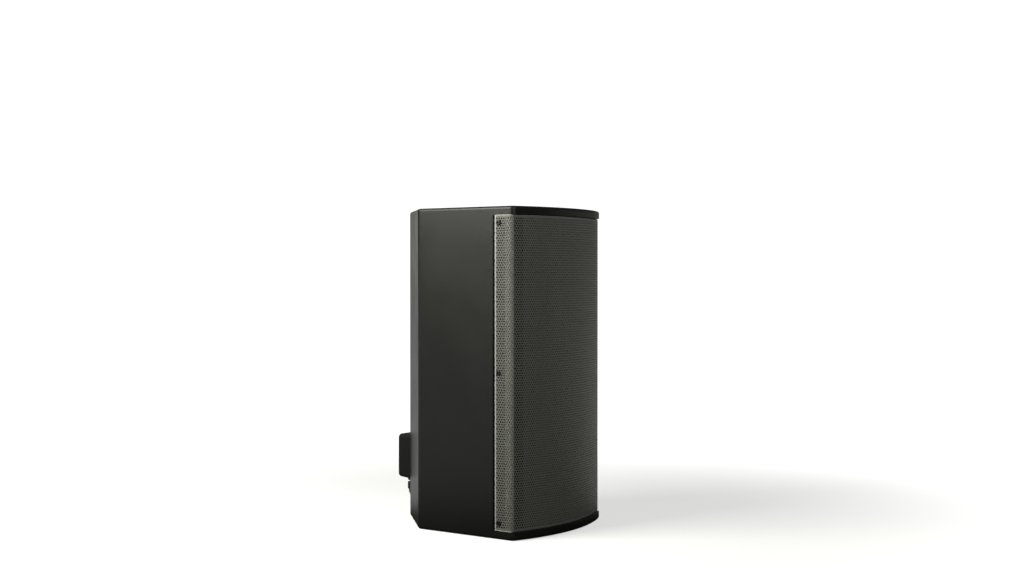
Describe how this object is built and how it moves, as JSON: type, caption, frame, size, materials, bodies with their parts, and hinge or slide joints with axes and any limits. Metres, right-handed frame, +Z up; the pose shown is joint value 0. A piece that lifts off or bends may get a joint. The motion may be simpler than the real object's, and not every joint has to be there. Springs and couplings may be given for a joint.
{
  "type": "loudspeaker cabinet",
  "caption": "Upright two-way loudspeaker cabinet with bevelled rear corners, a convex perforated steel grille, two woofers, a horn driver and a rear cable cover.",
  "frame": {"origin": "on the underside, midway between the sides and midway between the front of the caps and the rear wall", "axes": "+Z up; the convex front faces -Y; +X is the cabinet's right as seen from its front looking along +Y"},
  "size_m": [0.2934, 0.3885, 0.59],
  "materials": {
    "cabinet_paint": "dark olive-black textured polyurea paint on birch plywood, fine pebble texture, matt",
    "plywood": "bare birch plywood, sanded",
    "grille_paint": "dark grey powder coat on perforated steel, satin",
    "acoustic_cloth": "black open-weave acoustic cloth",
    "black_steel": "black oxide or black powder coat, satin",
    "zinc_steel": "zinc plated steel, satin",
    "ferrite": "sintered ferrite, matt dark grey",
    "black_rubber": "black rubber, matt",
    "black_plastic": "moulded black plastic, fine grain",
    "cover_plastic": "moulded black glass-filled nylon, matt",
    "board_laminate": "glass epoxy laminate, semi-matt",
    "cone_paper": "treated paper pulp, black, matt",
    "cloth_suspension": "doped cotton cloth",
    "copper_wire": "enamelled copper wire, glossy",
    "capacitor_film": "polyester film sleeve, glossy",
    "ceramic": "white ceramic resistor case, matt",
    "titanium": "titanium foil, satin",
    "lead_jacket": "black flexible lead jacket, matt",
    "wadding": "off-white polyester fibre wadding"
  },
  "bodies": {
    "root": {"top_panel": "cabinet_paint", "bottom_panel": "cabinet_paint", "left_side_panel": "cabinet_paint", "right_side_panel": "cabinet_paint", "left_bevel_panel": "cabinet_paint", "right_bevel_panel": "cabinet_paint", "rear_panel": "cabinet_paint", "baffle": "cabinet_paint", "braces": "plywood", "rigging_inserts": "zinc_steel", "grille": "grille_paint", "grille_cloth": "acoustic_cloth", "grille_screws": "black_steel", "woofer_gaskets": "black_rubber", "woofer_screws": "black_steel", "woofer_terminals": "board_laminate", "horn": "black_plastic", "horn_screws": "black_steel", "hf_pole_plate": "zinc_steel", "hf_magnet": "ferrite", "hf_top_plate": "zinc_steel", "hf_phase_plug": "black_plastic", "hf_suspension": "cloth_suspension", "hf_rear_cap": "black_plastic", "hf_bolts": "zinc_steel", "reflex_ports": "black_plastic", "crossover_board": "board_laminate", "board_spacers": "zinc_steel", "inductors": "copper_wire", "capacitors": "capacitor_film", "resistors": "ceramic", "internal_leads": "lead_jacket", "wadding_pads": "wadding", "input_plate": "zinc_steel", "barrier_strip": "black_plastic", "cover_gasket": "black_rubber", "terminal_cover": "cover_plastic", "cover_screws": "black_steel", "gland_body": "cover_plastic", "gland_nut": "cover_plastic", "gland_seal": "black_rubber", "upper_basket": "black_steel", "upper_top_plate": "zinc_steel", "upper_magnet": "ferrite", "upper_pole_plate": "zinc_steel", "upper_surround": "cloth_suspension", "upper_spider": "cloth_suspension", "lower_basket": "black_steel", "lower_top_plate": "zinc_steel", "lower_magnet": "ferrite", "lower_pole_plate": "zinc_steel", "lower_surround": "cloth_suspension", "lower_spider": "cloth_suspension"},
    "upper_cone_body": {"upper_cone": "cone_paper", "upper_dust_cap": "cone_paper", "upper_voice_coil": "copper_wire"},
    "lower_cone_body": {"lower_cone": "cone_paper", "lower_dust_cap": "cone_paper", "lower_voice_coil": "copper_wire"},
    "hf_dome_body": {"hf_diaphragm": "titanium"}
  },
  "joints": [
    {"name": "upper_cone_travel", "type": "slide", "parent": "root", "child": "upper_cone_body", "axis": [0, -1, 0], "range_m": [-0.006, 0.006], "stiffness_N_per_m": 2500, "deforming": ["upper_surround", "upper_spider"]},
    {"name": "lower_cone_travel", "type": "slide", "parent": "root", "child": "lower_cone_body", "axis": [0, -1, 0], "range_m": [-0.006, 0.006], "stiffness_N_per_m": 2500, "deforming": ["lower_surround", "lower_spider"]},
    {"name": "hf_diaphragm_travel", "type": "slide", "parent": "root", "child": "hf_dome_body", "axis": [0, -1, 0], "range_m": [-0.0003, 0.0003], "stiffness_N_per_m": 1500, "deforming": ["hf_suspension"]}
  ]
}
